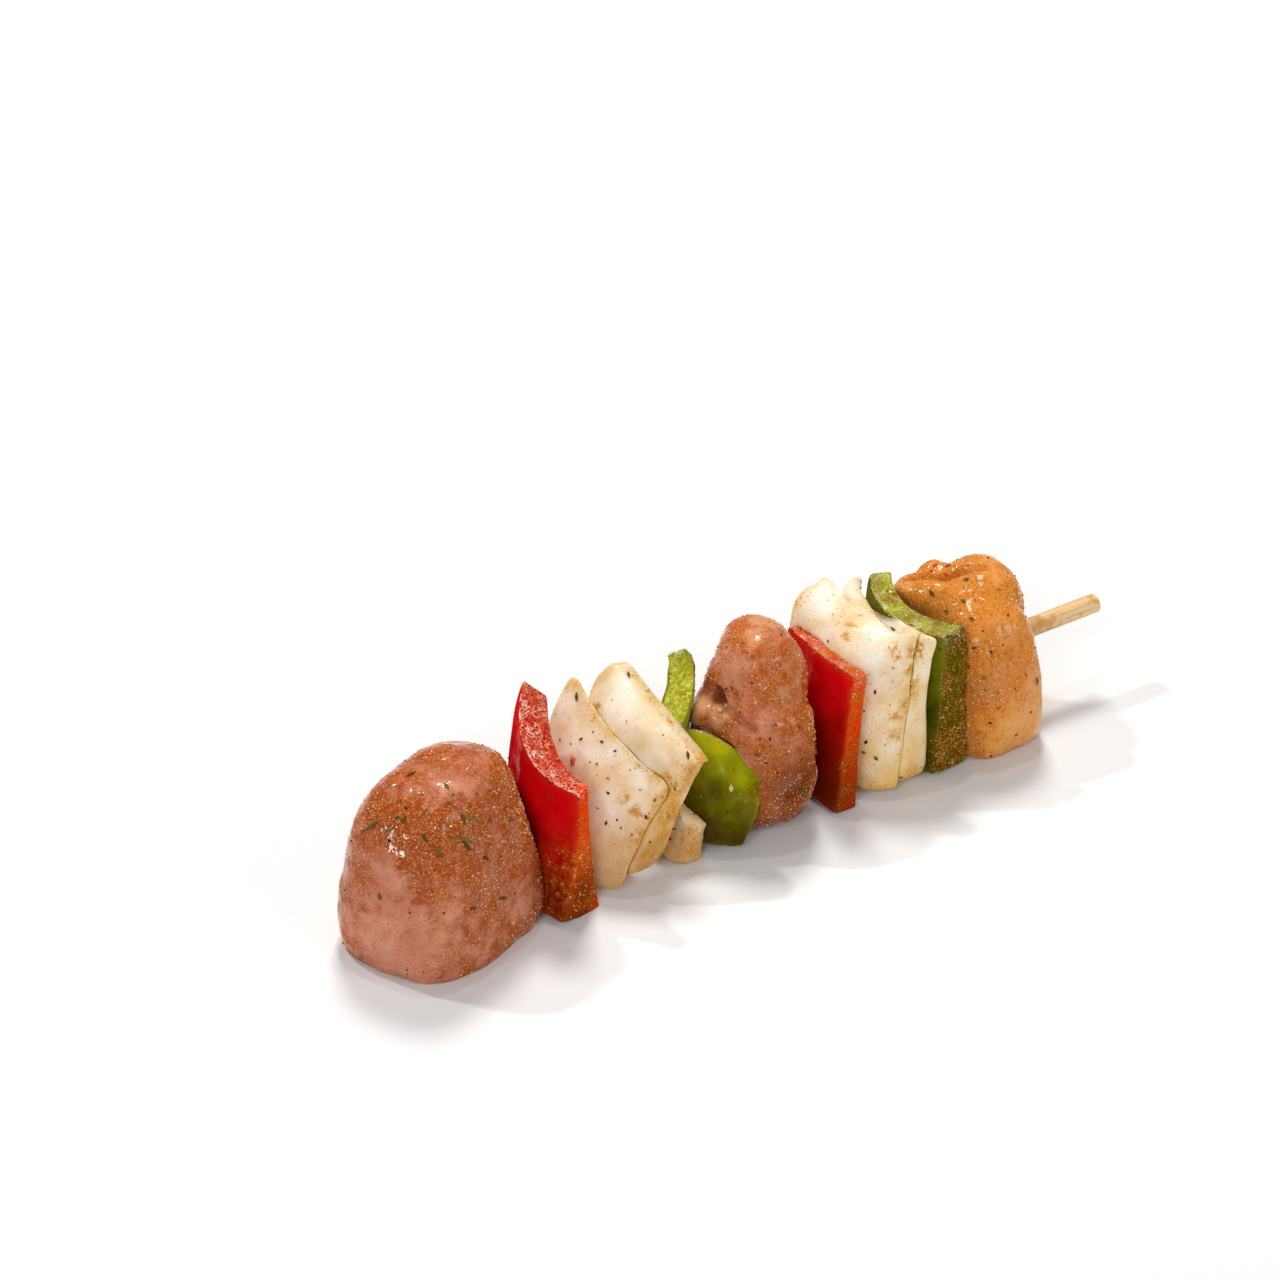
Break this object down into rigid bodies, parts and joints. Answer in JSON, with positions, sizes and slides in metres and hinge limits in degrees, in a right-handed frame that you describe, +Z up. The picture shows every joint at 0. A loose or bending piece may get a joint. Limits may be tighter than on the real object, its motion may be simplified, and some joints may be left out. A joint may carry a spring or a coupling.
{
  "type": "raw chicken kebab skewer",
  "caption": "Raw marinated kebab: rounded lumps of chicken with squares of red and green pepper and leaves of onion between them, pressed together on a thin bamboo stick.",
  "frame": {"origin": "middle of the footprint, on the surface that the kebab lies on", "axes": "+X along the stick towards its free square-cut end, +Z up"},
  "size_m": [0.2008, 0.0418, 0.0458],
  "materials": {
    "chicken": "raw pink meat under a wet coat of orange-brown spice",
    "red_pepper": "smooth waxy red skin, grainy wet cut edges",
    "green_pepper": "smooth waxy green skin, dusted with spice",
    "onion": "translucent cream-white layers with faint veins and spice on the edges",
    "bamboo": "pale fibrous bamboo, unvarnished",
    "spice": "paprika and spice grains stuck in the marinade",
    "herbs": "dried green herb flakes and dark pepper specks"
  },
  "bodies": {
    "root": {"stick": "bamboo", "chicken_1": "chicken", "red_pepper_1": "red_pepper", "onion_1_outer": "onion", "onion_1_middle": "onion", "onion_1_inner": "onion", "green_pepper_1": "green_pepper", "chicken_2": "chicken", "red_pepper_2": "red_pepper", "onion_2_outer": "onion", "onion_2_inner": "onion", "green_pepper_2": "green_pepper", "chicken_3": "chicken"}
  },
  "joints": []
}
